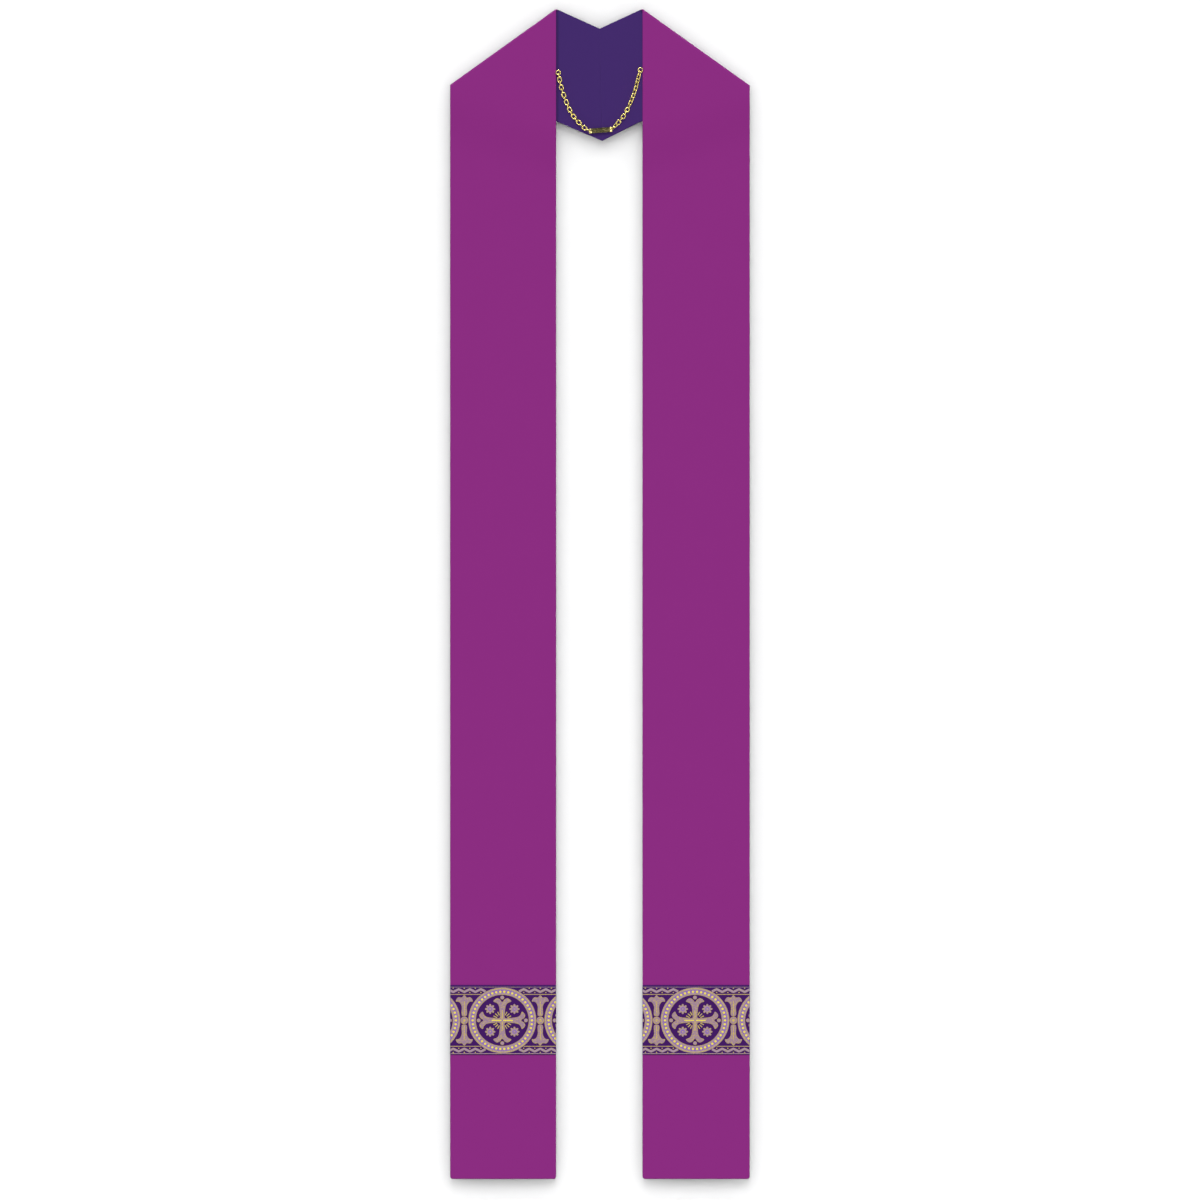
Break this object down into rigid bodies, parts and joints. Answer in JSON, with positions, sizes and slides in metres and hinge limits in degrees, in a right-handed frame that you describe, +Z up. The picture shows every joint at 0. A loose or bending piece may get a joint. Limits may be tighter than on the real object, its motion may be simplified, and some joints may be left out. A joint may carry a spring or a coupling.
{
  "type": "clerical stole",
  "caption": "Clerical stole laid flat, folded at the shoulders, with an ornamental band on each front and a neck chain with a plain bar.",
  "frame": {"origin": "on the surface that the stole lies on, under the middle of its outline", "axes": "+X across the two fronts, +Y from the hems towards the neck, +Z up from the surface"},
  "size_m": [0.3372, 1.3167, 0.008],
  "materials": {
    "face_cloth": "plain-woven magenta cloth with a soft sheen",
    "lining_cloth": "smooth violet lining",
    "band_cloth": "woven ornamental band, violet ground with mauve and gold motifs",
    "gold_metal": "polished gold-coloured metal"
  },
  "bodies": {
    "stole": {"left_strip": "face_cloth", "left_lining": "lining_cloth", "left_band": "band_cloth", "right_strip": "face_cloth", "right_lining": "lining_cloth", "right_band": "band_cloth"},
    "chain": {"left_ring": "gold_metal", "left_link_01": "gold_metal", "left_link_02": "gold_metal", "left_link_03": "gold_metal", "left_link_04": "gold_metal", "left_link_05": "gold_metal", "left_link_06": "gold_metal", "left_link_07": "gold_metal", "left_link_08": "gold_metal", "left_link_09": "gold_metal", "left_link_10": "gold_metal", "left_link_11": "gold_metal", "left_link_12": "gold_metal", "left_link_13": "gold_metal", "left_link_14": "gold_metal", "left_link_15": "gold_metal", "left_link_16": "gold_metal", "left_link_17": "gold_metal", "right_ring": "gold_metal", "right_link_01": "gold_metal", "right_link_02": "gold_metal", "right_link_03": "gold_metal", "right_link_04": "gold_metal", "right_link_05": "gold_metal", "right_link_06": "gold_metal", "right_link_07": "gold_metal", "right_link_08": "gold_metal", "right_link_09": "gold_metal", "right_link_10": "gold_metal", "right_link_11": "gold_metal", "right_link_12": "gold_metal", "right_link_13": "gold_metal", "right_link_14": "gold_metal", "right_link_15": "gold_metal", "right_link_16": "gold_metal", "right_link_17": "gold_metal", "chain_bar": "gold_metal"}
  },
  "joints": [
    {"name": "chain_swing", "type": "hinge", "parent": "stole", "child": "chain", "pos_m": [-0.0007, 0.58815, 0.0054], "axis": [-0.9995, -0.0314, 0], "range_deg": [0, 180]}
  ]
}
